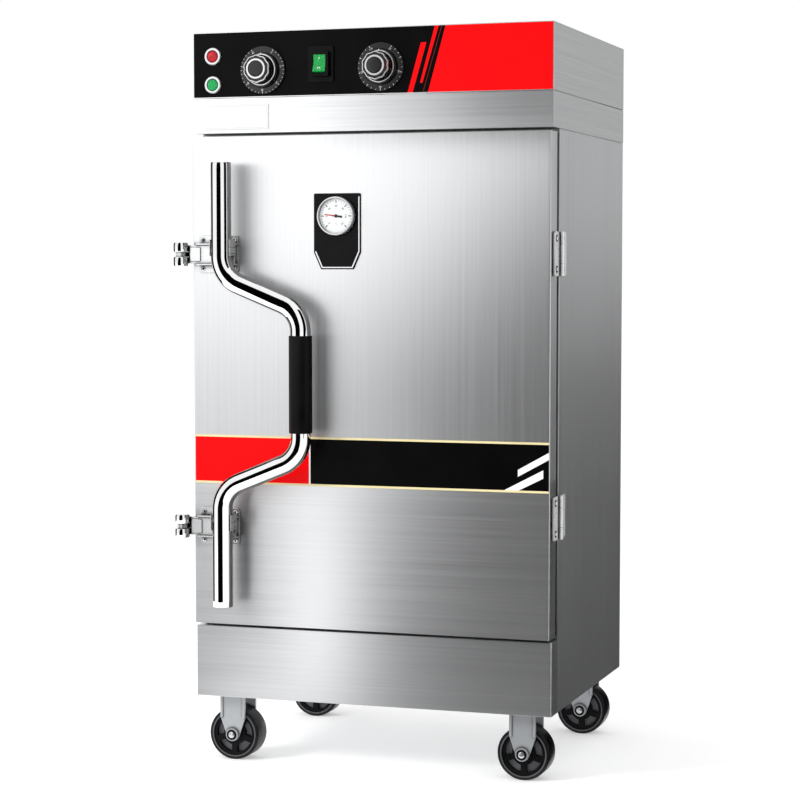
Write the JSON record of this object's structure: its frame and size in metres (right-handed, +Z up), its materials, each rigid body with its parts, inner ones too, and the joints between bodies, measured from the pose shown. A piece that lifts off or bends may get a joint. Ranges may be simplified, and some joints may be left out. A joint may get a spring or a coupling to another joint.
{
  "type": "rice steamer cabinet",
  "caption": "Upright insulated steamer on casters: trays on side racks over a heated sump, one side-hinged door with a cranked bar handle that works roller latches.",
  "frame": {"origin": "on the floor, under the middle of the overall bounding box", "axes": "+Z up, the front with the door faces -Y, +X to the viewer's right"},
  "size_m": [0.738, 0.6842, 1.385],
  "materials": {
    "satin_steel": "brushed, long grain",
    "bright_steel": "fine brushed, bright",
    "inner_steel": "mill finish",
    "polished_steel": "mirror polished",
    "zinc_steel": "zinc plated",
    "sheath_metal": "heat darkened",
    "mineral_wool": "fibrous, matt",
    "silicone_rubber": "matt",
    "grip_rubber": "ribbed, matt",
    "black_plastic": "fine texture",
    "gauge_black": "semi-gloss",
    "needle_red": "satin",
    "clear_glass": "clear",
    "lens_green": "glossy",
    "lens_red": "glossy",
    "valve_brass": "nickelled brass",
    "lever_red": "dipped coating",
    "nylon_black": "moulded"
  },
  "bodies": {
    "cabinet": {"outer_shell": "satin_steel", "header_cap": "bright_steel", "control_housing": "satin_steel", "plinth": "satin_steel", "base_pan": "zinc_steel", "inner_liner": "inner_steel", "insulation_jacket": "mineral_wool", "heating_element": "sheath_metal", "slotted_baffle": "inner_steel", "tray_rack_left": "inner_steel", "tray_rack_right": "inner_steel", "tray_1": "bright_steel", "tray_2": "bright_steel", "tray_3": "bright_steel", "tray_4": "bright_steel", "tray_5": "bright_steel", "tray_6": "bright_steel", "tray_7": "bright_steel", "tray_8": "bright_steel", "control_gear": "black_plastic", "lamp_red": "lens_red", "lamp_green": "lens_green", "switch_housing": "black_plastic", "float_box": "satin_steel", "drain_valve": "valve_brass", "cable_gland": "black_plastic", "hinge_frame_leaf_upper": "bright_steel", "hinge_frame_leaf_lower": "bright_steel", "latch_keeper_upper": "bright_steel", "latch_keeper_lower": "bright_steel", "caster_fork_front_left": "zinc_steel", "caster_fork_front_right": "zinc_steel", "caster_fork_rear_left": "zinc_steel", "caster_fork_rear_right": "zinc_steel"},
    "door": {"door_outer_panel": "satin_steel", "door_inner_panel": "inner_steel", "door_insulation": "mineral_wool", "door_gasket": "silicone_rubber", "gauge_plate": "gauge_black", "gauge_case": "polished_steel", "gauge_lens": "clear_glass", "hinge_door_leaf_upper": "bright_steel", "hinge_door_leaf_lower": "bright_steel", "latch_bracket_upper": "bright_steel", "latch_bracket_lower": "bright_steel"},
    "handle": {"handle_tube": "polished_steel", "grip_sleeve": "grip_rubber"},
    "tongue_upper": {"latch_tongue_upper": "bright_steel"},
    "tongue_lower": {"latch_tongue_lower": "bright_steel"},
    "roller_upper": {"keeper_roller_upper": "polished_steel"},
    "roller_lower": {"keeper_roller_lower": "polished_steel"},
    "needle": {"gauge_needle": "needle_red"},
    "timer": {"timer_knob": "black_plastic"},
    "thermostat": {"thermostat_knob": "black_plastic"},
    "rocker": {"switch_rocker": "lens_green"},
    "drain_lever": {"drain_lever": "lever_red"},
    "wheel_front_left": {"caster_wheel_front_left": "nylon_black"},
    "wheel_front_right": {"caster_wheel_front_right": "nylon_black"},
    "wheel_rear_left": {"caster_wheel_rear_left": "nylon_black"},
    "wheel_rear_right": {"caster_wheel_rear_right": "nylon_black"}
  },
  "joints": [
    {"name": "door_swing", "type": "hinge", "parent": "cabinet", "child": "door", "pos_m": [0.36405, -0.22288, 0.73], "axis": [0, 0, 1], "range_deg": [0, 180]},
    {"name": "handle_turn", "type": "hinge", "parent": "door", "child": "handle", "pos_m": [-0.26245, -0.31988, 0.73], "axis": [0, 0, 1], "range_deg": [-28.63, 0]},
    {"name": "timer_turn", "type": "hinge", "parent": "cabinet", "child": "timer", "pos_m": [-0.19945, -0.26288, 1.312], "axis": [0, 1, 0], "range_deg": [0, 270]},
    {"name": "thermostat_turn", "type": "hinge", "parent": "cabinet", "child": "thermostat", "pos_m": [0.03255, -0.26288, 1.312], "axis": [0, 1, 0], "range_deg": [0, 270]},
    {"name": "power_rocker", "type": "hinge", "parent": "cabinet", "child": "rocker", "pos_m": [-0.08445, -0.26688, 1.32], "axis": [1, 0, 0], "range_deg": [0, 16]},
    {"name": "needle_turn", "type": "hinge", "parent": "door", "child": "needle", "pos_m": [-0.04945, -0.28088, 1.04], "axis": [0, 1, 0], "range_deg": [-53, 217], "stiffness_Nm_per_rad": 0.0005},
    {"name": "drain_turn", "type": "hinge", "parent": "cabinet", "child": "drain_lever", "pos_m": [0.21855, 0.32112, 0.2318], "axis": [0, 0, 1], "range_deg": [0, 90]},
    {"name": "tongue_slide_upper", "type": "slide", "parent": "door", "child": "tongue_upper", "axis": [1, 0, 0], "range_m": [0, 0.018]},
    {"name": "roller_spin_upper", "type": "hinge", "parent": "cabinet", "child": "roller_upper", "pos_m": [-0.35505, -0.29484, 0.97], "axis": [0, 0, 1], "continuous": true},
    {"name": "tongue_slide_lower", "type": "slide", "parent": "door", "child": "tongue_lower", "axis": [1, 0, 0], "range_m": [0, 0.018]},
    {"name": "roller_spin_lower", "type": "hinge", "parent": "cabinet", "child": "roller_lower", "pos_m": [-0.35505, -0.29484, 0.457], "axis": [0, 0, 1], "continuous": true},
    {"name": "wheel_roll_front_left", "type": "hinge", "parent": "cabinet", "child": "wheel_front_left", "pos_m": [-0.27945, -0.20488, 0.05], "axis": [0, 1, 0], "continuous": true},
    {"name": "wheel_roll_front_right", "type": "hinge", "parent": "cabinet", "child": "wheel_front_right", "pos_m": [0.29655, -0.20488, 0.05], "axis": [0, 1, 0], "continuous": true},
    {"name": "wheel_roll_rear_left", "type": "hinge", "parent": "cabinet", "child": "wheel_rear_left", "pos_m": [-0.27945, 0.23912, 0.05], "axis": [0, 1, 0], "continuous": true},
    {"name": "wheel_roll_rear_right", "type": "hinge", "parent": "cabinet", "child": "wheel_rear_right", "pos_m": [0.29655, 0.23912, 0.05], "axis": [0, 1, 0], "continuous": true}
  ],
  "couplings": [
    {"joint": "tongue_slide_upper", "follows": "handle_turn", "m_per_rad": -0.03602},
    {"joint": "tongue_slide_lower", "follows": "handle_turn", "m_per_rad": -0.03602}
  ]
}
